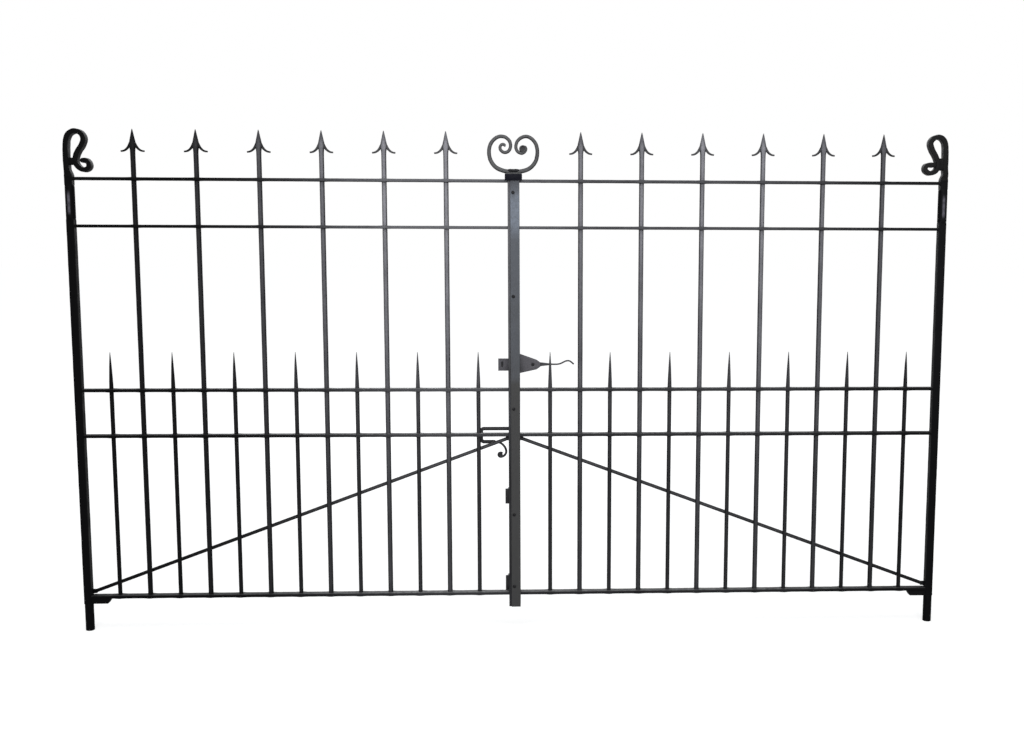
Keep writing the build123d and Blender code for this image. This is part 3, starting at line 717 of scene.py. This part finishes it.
spearSettings = {
    "radius": 0.00875,
    "sides": 20,
    "barSteps": 90,
    "tipZ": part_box("left_spear_bar_1")[1].z,
    "footZ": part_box("left_spear_bar_1")[0].z,
    # below the tip: distance, half width, half thickness
    "blade": ((0.0, 0.0008, 0.0008), (0.004, 0.0021, 0.0018), (0.012, 0.0039, 0.0034), (0.022, 0.0061, 0.0050),
              (0.032, 0.0083, 0.0062), (0.041, 0.0103, 0.0074), (0.049, 0.0116, 0.0086), (0.055, 0.0117, 0.0095),
              (0.062, 0.0103, 0.0097), (0.069, 0.0092, 0.0092), (0.076, 0.0087, 0.0087)),
    "diamond": (0.036, 0.022, 0.85),  # distance where the diamond section starts to go, its fade, its strength
    "blow": (0.022, 0.00018, 0.00022),
    "barb": ((0.003, -0.0425), (0.0075, -0.0490), (0.0125, -0.0580), (0.0195, -0.0666), (0.0290, -0.0726),
             (0.0395, -0.0745)),
    "barbHalf": (0.0055, 0.0027),
    "barbDepth": 0.0045,
    "barbThinning": 0.45,
    "barbCorner": 0.75,
    "barbStep": 0.0022,
}


def spearPattern(settings):
    tipZ, footZ = settings["tipZ"], settings["footZ"]
    fadeStart, fadeReach, strength = settings["diamond"]
    rings = []
    for drop, halfWide, halfThick in settings["blade"]:
        diamond = max(0.0, 1.0 - max(0.0, drop - fadeStart) / fadeReach) * strength
        ring = []
        for outward in directions(settings["sides"]):
            reach = 1.0 + (1.0 / (abs(outward.x) + abs(outward.y)) - 1.0) * diamond
            ring.append(Vector((outward.x * halfWide * reach, outward.y * halfThick * reach, tipZ - drop)))
        rings.append(ring)
    lastZ = rings[-1][0].z
    for step in range(1, settings["barSteps"] + 1):
        centre = Vector((0, 0, between(lastZ, footZ, step / settings["barSteps"])))
        rings.append(roundRing(centre, [settings["radius"]] * settings["sides"], settings["blow"]))
    return skinnedMesh(rings)


def barbPattern(settings):
    wide, narrow = settings["barbHalf"]

    def sizes(distance, total):
        share = distance / total
        return between(wide, narrow, share), settings["barbDepth"] * (1.0 - settings["barbThinning"] * share)

    def barb(sign):
        points = [(sign * reach, 0.0, settings["tipZ"] + rise) for reach, rise in settings["barb"]]
        return bentBar(points, settings["barbStep"], sizes, settings["barbCorner"])

    return skinnedMesh(barb(-1), barb(1))


dogSettings = {
    "radius": 0.0074,
    "sides": 18,
    "barSteps": 44,
    "spikeSteps": 20,
    # up the spike: share of its height, share of the bar's width
    "spike": ((0.0, 1.0), (0.20, 0.90), (0.42, 0.74), (0.66, 0.54), (0.88, 0.28), (1.0, 0.11)),
    "blow": (0.02, 0.00015, 0.00018),
}


def dogPattern(settings):
    low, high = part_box("left_dog_bars")
    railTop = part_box("left_middle_rail")[1].z
    barSteps, spikeSteps = settings["barSteps"], settings["spikeSteps"]
    zs = [between(low.z, railTop, step / barSteps) for step in range(barSteps + 1)]
    zs += [between(railTop, high.z, step / spikeSteps) for step in range(1, spikeSteps + 1)]
    rings = []
    for z in zs:
        share = max(0.0, (z - railTop) / (high.z - railTop))
        radius = settings["radius"]
        for (lowShare, lowWide), (highShare, highWide) in zip(settings["spike"], settings["spike"][1:]):
            if lowShare <= share <= highShare:
                radius *= between(lowWide, highWide, (share - lowShare) / (highShare - lowShare))
                break
        rings.append(roundRing(Vector((0, 0, z)), [radius] * settings["sides"], settings["blow"], 1.0 - share))
    return skinnedMesh(rings)


for side in sides:
    firstX = min(barXs[side])
    mesh = standRow(spearPattern(spearSettings), firstX, tallCount, "barPaint")
    addPiece(side + "SpearBars", mesh, "barPaint", 50, *spearNodes[side])
    mesh = standRow(barbPattern(spearSettings), firstX, tallCount, "barbPaint")
    addPiece(side + "SpearBarbs", mesh, "barbPaint", 50, body=side + "_leaf")
    mesh = standRow(dogPattern(dogSettings), firstX - tallPitch / 2, dogCount, "dogPaint")
    addPiece(side + "DogBars", mesh, "dogPaint", 50, side + "_dog_bars")
print("bars stood in their rails")

# Hanging stiles: square bar, turned round between the two upper rails
stileSettings = {
    "sides": 48, "squareness": 20, "round": 0.016, "blend": 0.010, "blendSteps": 5, "margin": 0.014,
    "step": 0.009, "blow": (0.03, 0.00035, 0.000385), "plainEnd": 0.001,
}


def stileMesh(side, settings):
    low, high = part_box(side + "_hanging_stile")
    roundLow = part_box(side + "_upper_rail")[1].z + settings["margin"]
    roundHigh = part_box(side + "_top_rail")[0].z - settings["margin"]
    count = round((high.z - low.z) / settings["step"])
    zs = {between(low.z, high.z, index / count) for index in range(count + 1)}
    blend, blendSteps = settings["blend"], settings["blendSteps"]
    for edge, sign in ((roundLow, 1), (roundHigh, -1)):
        zs |= {edge + sign * blend * share / blendSteps for share in range(blendSteps + 1)}
    power = settings["squareness"]
    rings = []
    for z in sorted(zs):
        share = easeShare(max(0.0, min(1.0, min(z - roundLow, roundHigh - z) / blend)))
        radii = []
        for outward in directions(settings["sides"]):
            square = stileHalf / (abs(outward.x) ** power + abs(outward.y) ** power) ** (1 / power)
            radii.append(between(square, settings["round"], share))
        blow = settings["blow"] if min(z - low.z, high.z - z) > settings["plainEnd"] else None
        rings.append(roundRing(Vector((hingeX[side], 0, z)), radii, blow, 1 - share))
    return skinnedMesh(rings)


addBothSides("hanging_stile", stileMesh, stileSettings, "stilePaint", 30)
print("hanging stiles forged")

# Heel pivots, turned, with two scribed grooves and a pin
pivotSettings = {
    "sides": 40, "radius": 0.015, "edge": 0.0028, "edgeDrop": 0.3, "chamfer": 0.0015, "shoulderGap": 0.0003,
    "grooves": ((0.020, 0.022, 0.024), (0.060, 0.0615, 0.063)), "grooveDepth": 0.0006,
    "pin": 0.0065, "pinPoint": 0.005,
}


def pivotMesh(side, settings):
    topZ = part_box(side + "_heel_pivot")[1].z
    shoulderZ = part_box(side + "_hanging_stile")[0].z - settings["shoulderGap"]
    edge, radius, chamfer = settings["edge"], settings["radius"], settings["chamfer"]
    drop = edge * settings["edgeDrop"]
    outline = [(radius - chamfer, 0.0), (radius, chamfer)]
    for lip, bottom, farLip in settings["grooves"]:
        outline += [(radius, lip), (radius - settings["grooveDepth"], bottom), (radius, farLip)]
    outline += [(radius, shoulderZ - edge), (radius - drop, shoulderZ - drop), (radius - edge, shoulderZ),
                (settings["pin"], shoulderZ), (settings["pin"], topZ - chamfer), (settings["pinPoint"], topZ)]
    rings = [roundRing(Vector((hingeX[side], 0, z)), [reach] * settings["sides"]) for reach, z in outline]
    return skinnedMesh(rings)


addBothSides("heel_pivot", pivotMesh, pivotSettings, "stilePaint", 35)
print("heel pivots turned")

# Stile scrolls: runs in millimetres from the head of the stile
scrollSettings = {
    "step": 0.004, "neckHalf": (0.009, 0.016), "tipHalf": 0.0078, "corner": 0.0022,
    "shoulder": 0.024, "neckOffset": -0.004, "blow": (0.013, 0.0006, 0.0006),
    "shoulderShares": (0, 0.15, 0.35, 0.55, 0.75, 0.9),
    "snub": 0.0088, "snubStart": 1.8, "snubEase": 0.9, "snubFill": 0.9, "snubShares": (0.35, 0.65, 0.87, 0.97),
    "left": ((-5, 60), (-4, 100), (0, 125), (10, 141), (27.5, 148.3), (46.5, 141.5), (55.5, 124), (50, 103.5),
             (37, 83.5), (28, 64.5), (26.5, 43.5), (37.5, 26), (55, 19), (69, 26.5), (70, 40.5), (62, 50),
             (52, 50.5)),
    "right": ((-2.5, 43), (-2.5, 80), (0, 122), (9, 141.5), (25, 148.8), (42.5, 142.5), (52, 127), (45.5, 105),
              (34, 85), (25.5, 64), (25, 42), (36.5, 28), (54, 25), (67, 34.5), (66.5, 47.5), (55, 53),
              (41, 52.5)),
    # forge weld between the neck and the return
    "tieHeights": {"left": (0.035, 0.060), "right": (0.034, 0.076)}, "tieReach": 0.026, "tieSteps": 8,
    "tieCorner": 0.004, "tieBlow": (0.012, 0.0005, 0.0005),
}


def scrollMesh(side, settings):
    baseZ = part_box(side + "_hanging_stile")[1].z
    neckThick, neckDeep = settings["neckHalf"]
    snub = settings["snub"]
    snubStart, snubEase = snub * settings["snubStart"], snub * settings["snubEase"]

    def spot(reach, rise):
        return Vector((hingeX[side] + sides[side] * reach, 0.0, baseZ + rise))

    neck = spot(settings["neckOffset"], settings["shoulder"])
    run = smoothRun([neck] + [spot(reach / 1000, rise / 1000) for reach, rise in settings[side]],
                    settings["step"])[0]
    shares = settings["shoulderShares"]
    run = [spot(settings["neckOffset"] * easeShare(share), settings["shoulder"] * share) for share in shares] + run
    distances = distancesAlong(run)
    whole = distances[-1]
    rings = []
    for index, (centre, distance) in enumerate(zip(run, distances)):
        across = Vector((1, 0, 0)) if index < len(shares) else acrossRun(run, index)
        grown = easeShare(min(1.0, distance / settings["shoulder"]))
        thick, deep = between(stileHalf, neckThick, grown), between(stileHalf, neckDeep, grown)
        along = max(0.0, (distance - settings["shoulder"]) / (whole - settings["shoulder"]))
        thick += (settings["tipHalf"] - neckThick) * along if grown >= 1.0 else 0.0
        left = whole - distance
        if left < snubStart:  # the end is upset into a round snub
            swell = math.sin(min(1.0, (snubStart - left) / snubEase) * math.pi / 2)
            thick = between(thick, snub, swell * settings["snubFill"])
        blow = settings["blow"] if index else None
        rings.append(barRing(centre, across, thick, deep, settings["corner"], blow))
    # the snub is rounded off beyond its last ring
    ahead = (run[-1] - run[-2]).normalized()
    across, lastRing = depthAxis.cross(ahead).normalized(), rings[-1]
    for share in settings["snubShares"]:
        squeeze = math.sqrt(1 - share * share)
        ring = []
        for point in lastRing:
            offset = point - run[-1]
            ring.append(run[-1] + ahead * snub * share + across * offset.dot(across) * squeeze
                        + depthAxis * offset.y)
        rings.append(ring)
    tieLow, tieHigh = settings["tieHeights"][side]
    tieMiddle, tieSteps = (tieLow + tieHigh) / 2, settings["tieSteps"]
    tieRings = []
    for step in range(tieSteps + 1):
        reach = between(settings["neckOffset"], settings["tieReach"], step / tieSteps)
        tieRings.append(barRing(spot(reach, tieMiddle), Vector((0, 0, 1)), (tieHigh - tieLow) / 2, stileHalf,
                                settings["tieCorner"], settings["tieBlow"], 3))
    return skinnedMesh(rings, tieRings)


addBothSides("stile_scroll", scrollMesh, scrollSettings, "scrollPaint", 40)
print("stile scrolls bent")

# Heart scroll on the cap: places in millimetres from the middle of the cap's top
heartSettings = {
    "step": 0.0035, "barHalf": 0.0081, "endHalf": 0.0054, "deep": 0.007, "corner": 0.9, "leastEnd": 0.05,
    "blow": (0.010, 0.0004, 0.0004), "foot": 7.2,
    "left": ((20, 7.4), (48, 15), (67, 28), (79, 47.5), (83.5, 71.5), (80, 95), (68, 114), (49, 125.5),
             (28.5, 124), (13.5, 111), (9.5, 93), (16, 77.5), (29.5, 72), (42, 78), (46, 89), (40.5, 98.5),
             (31.5, 98.5), (28.5, 91.5)),
    "right": ((20, 7.4), (46, 14), (64.5, 26.5), (77.5, 46), (82, 70), (79.5, 94), (69, 113), (50.5, 125.5),
              (30.5, 124), (14, 110.5), (8.5, 92), (13.5, 76.5), (26.5, 69.5), (38, 74), (43, 84.5),
              (38.5, 95)),
    "eye": 0.0128, "eyePlace": (32.5, 84.0), "eyeSides": 28,
    "eyeDish": ((0.3, -0.62), (0.55, -0.7), (0.74, -1.0), (0.92, -0.93), (1.0, -0.7)),  # share out, share deep
    "weld": ((-21, 12.4), (-10.5, 11), (0, 10.6), (10.5, 11), (21, 12.4)), "weldRadius": 0.0062, "weldY": -0.0040,
    "weldBlow": (0.006, 0.0005, 0.0005), "leastWeld": 0.1,
}


def heartSpot(reach, rise, y=0.0):
    return Vector((middleX + reach / 1000, y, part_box("stile_cap")[1].z + rise / 1000))


def heartMesh(settings):
    points = [heartSpot(-reach, rise) for reach, rise in reversed(settings["left"])]
    points += [heartSpot(0, settings["foot"])] + [heartSpot(reach, rise) for reach, rise in settings["right"]]

    def sizes(distance, total):
        half = between(settings["barHalf"], settings["endHalf"], abs(distance / total - 0.5) * 2)
        return half * roundedEnd(distance, total, half, settings["leastEnd"]), settings["deep"]

    rings = bentBar(points, settings["step"], sizes, settings["corner"], settings["blow"], steps=5)
    return skinnedMesh(rings)


# The right curl closes on a small boss with a dished face
def heartEyeMesh(settings):
    centre = heartSpot(*settings["eyePlace"])
    profile = settings["eyeDish"] + tuple((share, -y) for share, y in reversed(settings["eyeDish"]))
    rings = []
    for share, y in profile:
        radius = settings["eye"] * share
        rings.append([centre + Vector((outward.x * radius, y * settings["deep"], outward.y * radius))
                      for outward in directions(settings["eyeSides"])])
    return skinnedMesh(rings)


# The bead of forge weld that seats the heart on its cap
def heartWeldMesh(settings):
    points = [heartSpot(reach, rise, settings["weldY"]) for reach, rise in settings["weld"]]
    radius = settings["weldRadius"]

    def sizes(distance, total):
        half = radius * roundedEnd(distance, total, 2 * radius, settings["leastWeld"])
        return half, half

    return skinnedMesh(bentBar(points, settings["step"], sizes, 1.0, settings["weldBlow"]))


addPiece("heartScroll", heartMesh(heartSettings), "heartPaint", 50, "heart_scroll")
addPiece("heartEye", heartEyeMesh(heartSettings), "eyePaint", 50, body="left_leaf")
addPiece("heartWeld", heartWeldMesh(heartSettings), "weldPaint", 60, body="left_leaf")
print("heart scroll bent")

# Plates, stiles and fittings with softened edges: edge width, segments, paint
softened = {
    "left_meeting_stile": (0.0015, 2, "framePaint"),
    "right_meeting_stile": (0.0012, 2, "framePaint"),
    "cover_plate": (0.0009, 2, "plateFinish"),
    "stile_cap": (0.0012, 2, "capPaint"),
    "latch_keeper": (0.0009, 2, "latchPaint"),
    "bolt_guides": (0.0010, 2, "hardwarePaint"),
    "latch_plate": (0.0009, 2, "latchPaint"),
    "latch_pivot": (0.0008, 2, "rivetPaint"),
    "latch_lever": (0.0008, 2, "hardwarePaint"),
    "left_foot_gusset": (0.0020, 3, "scrollPaint"),
    "right_foot_gusset": (0.0020, 3, "scrollPaint"),
    "left_brace": (0.0010, 2, "barPaint"),
    "right_brace": (0.0010, 2, "barPaint"),
    "drop_bolt": (0.0008, 2, "hardwarePaint"),
}
braceFullness = 0.0008  # the round bar and its paint stand a little full
# the foot of the keeper's slot: distance from the keeper's end, half reach, heights, lift
slotFoot = {"fromEnd": 0.014, "reach": 0.0045, "low": 0.9272, "high": 0.9325, "lift": 0.0018}


def dressSlotFoot(mesh, settings):
    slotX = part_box("latch_keeper")[0].x + settings["fromEnd"]
    for vertex in mesh.vertices:
        if abs(vertex.co.x - slotX) < settings["reach"] and settings["low"] < vertex.co.z < settings["high"]:
            vertex.co.z += settings["lift"]


for node, (width, segments, paint) in softened.items():
    fullness = braceFullness if node.endswith("brace") else 0.0
    mesh = softenedCopy(node, width, segments, fullness, softenSettings)
    if node == "latch_keeper":
        dressSlotFoot(mesh, slotFoot)
    addPiece(pieceName(node), mesh, paint, 35, node)
print("plates and fittings softened:", len(softened))


# Rivets: domed heads on named places
def buildRivetTree():
    tree, given, result = startGrowth("domeRivets", {"Radius": floatKind, "Rise": floatKind})
    dome = addNode(tree, "GeometryNodeMeshUVSphere", {"Segments": 20, "Rings": 12, "Radius": 1.0})
    size = addNode(tree, "ShaderNodeCombineXYZ", {0: given["Radius"], 1: given["Radius"], 2: given["Rise"]})
    facing = addNode(tree, "GeometryNodeInputNamedAttribute", {"Name": "facing"}, data_type="FLOAT_VECTOR")
    turned = addNode(tree, "FunctionNodeAlignRotationToVector", {"Vector": facing[0]}, axis="Z")
    heads = addNode(tree, "GeometryNodeInstanceOnPoints",
                    {"Points": given["Geometry"], "Instance": dome["Mesh"],
                     "Rotation": turned[0], "Scale": size[0]})
    return endGrowth(tree, heads[0], given["Paint"], result)


rivetTree = buildRivetTree()


def rivetMesh(places, direction, radius, rise):
    seed = bpy.data.meshes.new("rivetPlaces")
    seed.from_pydata(places, [], [])
    facing = seed.attributes.new("facing", "FLOAT_VECTOR", "POINT")
    for entry in facing.data:
        entry.vector = direction
    return growMesh(rivetTree, "rivetPaint", {"Radius": radius, "Rise": rise}, seed)


# radius and rise of the heads, distance in from the edge, then where they sit
rivetSettings = {
    "plate": {"head": (0.0060, 0.0030), "in": 0.010, "heights": (1.535, 1.180, 0.787, 0.410, 0.150)},
    "keeper": {"head": (0.0042, 0.0026), "in": 0.008, "offsets": (-0.014, 0.014), "sink": 0.004},
    "guide": {"head": (0.0038, 0.0026), "in": 0.006, "fromEnds": (0.010, 0.044), "y": 0.022},
    "latchPlate": {"head": (0.0044, 0.0026), "in": 0.018, "offsets": (-0.017, 0.022)},
    "brace": {"head": (0.0042, 0.0024), "out": 0.006, "up": 0.0068},
}
streetward, yardward = (0.0, -1.0, 0.0), (0.0, 1.0, 0.0)


def rivetPlaces(settings):
    plateLow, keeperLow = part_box("cover_plate")[0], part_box("latch_keeper")[0]
    guideLow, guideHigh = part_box("bolt_guides")
    latchLow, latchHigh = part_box("latch_plate")
    plate, keeper, guide, latch, brace = (
        settings[key] for key in ("plate", "keeper", "guide", "latchPlate", "brace"))
    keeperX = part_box("left_meeting_stile")[1].x - keeper["in"]
    keeperZ, latchZ = middle("latch_keeper").z, middle("latch_plate").z
    guideZs = [guideLow.z + reach for reach in guide["fromEnds"]]
    guideZs += [guideHigh.z - reach for reach in reversed(guide["fromEnds"])]
    places = {
        "plateRivets": ("left_leaf", plate, streetward, [
            (plateLow.x + plate["in"], plateLow.y, height) for height in plate["heights"]]),
        "keeperRivets": ("left_leaf", keeper, yardward, [
            (keeperX, keeperLow.y + keeper["sink"], keeperZ + rise) for rise in keeper["offsets"]]),
        "guideRivets": ("left_leaf", guide, yardward, [
            (guideLow.x + guide["in"], guide["y"], height) for height in guideZs]),
        "latchPlateRivets": ("right_leaf", latch, yardward, [
            (latchLow.x + latch["in"], latchHigh.y, latchZ + rise) for rise in latch["offsets"]]),
    }
    for side in sides:
        place = (hingeX[side], stileHalf + brace["out"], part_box(side + "_brace")[0].z + brace["up"])
        places[side + "BraceRivets"] = (side + "_leaf", brace, yardward, [place])
    return places


rivetSets = rivetPlaces(rivetSettings)
for name, (body, settings, direction, places) in rivetSets.items():
    addPiece(name, rivetMesh(places, direction, *settings["head"]), "rivetPaint", None, body=body)
print("rivets set:", sum(len(entry[3]) for entry in rivetSets.values()))

# Floor, sky and lamps
stageSettings = {
    "floorHalf": 60.0,
    "floorTone": 0.5,
    "floorRough": 0.9,
    "nearGlow": (2.0, 0.62),  # distance from the gates, glow
    "farGlow": (8.0, 0.86),
    "sky": (0.92, 0.96, 1.0),
    "skyStrength": 0.30,
    "lamps": (
        # name, place, aim, size, power, colour
        ("overhead", (1.5, -1.2, 5.5), (1.5, 0.0, 0.9), (6.0, 4.0), 170.0, (1.0, 1.0, 1.0)),
        ("street", (1.8, -6.0, 3.2), (1.6, 0.0, 1.0), (5.0, 3.0), 260.0, (1.0, 0.99, 0.97)),
        ("yard", (1.2, 5.0, 3.0), (1.5, 0.0, 1.0), (5.0, 3.0), 110.0, (0.96, 0.98, 1.0)),
    ),
}
white = (1.0, 1.0, 1.0, 1.0)


# One for the rays that show the backdrop itself, nought for the rays that light the gates
def backdropRays(tree):
    path = addNode(tree, "ShaderNodeLightPath")
    seen = mathNode(tree, "MAXIMUM", path["Is Camera Ray"], path["Is Glossy Ray"])
    return mathNode(tree, "MAXIMUM", seen, path["Is Transmission Ray"])


def layFloor(settings):
    half = settings["floorHalf"]
    mesh = bpy.data.meshes.new("floor")
    mesh.from_pydata([(-half, -half, 0), (half, -half, 0), (half, half, 0), (-half, half, 0)], [], [(0, 1, 2, 3)])
    floor = show(bpy.data.objects.new("floor", mesh))
    material = bpy.data.materials.new("paleFloor")
    material.use_nodes = True
    tree = material.node_tree
    shader = tree.nodes["Principled BSDF"]
    shader.inputs["Base Color"].default_value = (*(settings["floorTone"],) * 3, 1.0)
    shader.inputs["Roughness"].default_value = settings["floorRough"]
    shader.inputs["Specular IOR Level"].default_value = 0.0
    shader.inputs["Emission Color"].default_value = white
    place = addNode(tree, "ShaderNodeTexCoord")["Object"]
    away = addNode(tree, "ShaderNodeVectorMath", {0: place, 1: (middleX, 0.0, 0.0)}, operation="DISTANCE")
    nearReach, nearGlow = settings["nearGlow"]
    farReach, farGlow = settings["farGlow"]
    glow = rangeNode(tree, away["Value"], nearReach, farReach, nearGlow, farGlow, True)
    tree.links.new(product(tree, backdropRays(tree), glow), shader.inputs["Emission Strength"])
    mesh.materials.append(material)


def hangSky(settings):
    world = bpy.data.worlds.new("studio")
    world.use_nodes = True
    bpy.context.scene.world = world
    tree = world.node_tree
    tree.nodes.clear()
    soft = addNode(tree, "ShaderNodeBackground", {"Color": (*settings["sky"], 1.0),
                                                  "Strength": settings["skyStrength"]})
    shown = addNode(tree, "ShaderNodeBackground", {"Color": white, "Strength": 1.0})
    mix = addNode(tree, "ShaderNodeMixShader", {0: backdropRays(tree), 1: soft[0], 2: shown[0]})
    addNode(tree, "ShaderNodeOutputWorld", {"Surface": mix[0]})


def hangLamps(settings):
    for name, place, aim, size, power, colour in settings["lamps"]:
        data = bpy.data.lights.new(name, "AREA")
        data.shape = "RECTANGLE"
        data.size, data.size_y = size
        data.energy = power
        data.color = colour
        lamp = show(bpy.data.objects.new(name, data))
        lamp.location = place
        lamp.rotation_euler = (Vector(aim) - Vector(place)).to_track_quat("-Z", "Y").to_euler()


layFloor(stageSettings)
hangSky(stageSettings)
hangLamps(stageSettings)
print("floor, sky and lamps ready")
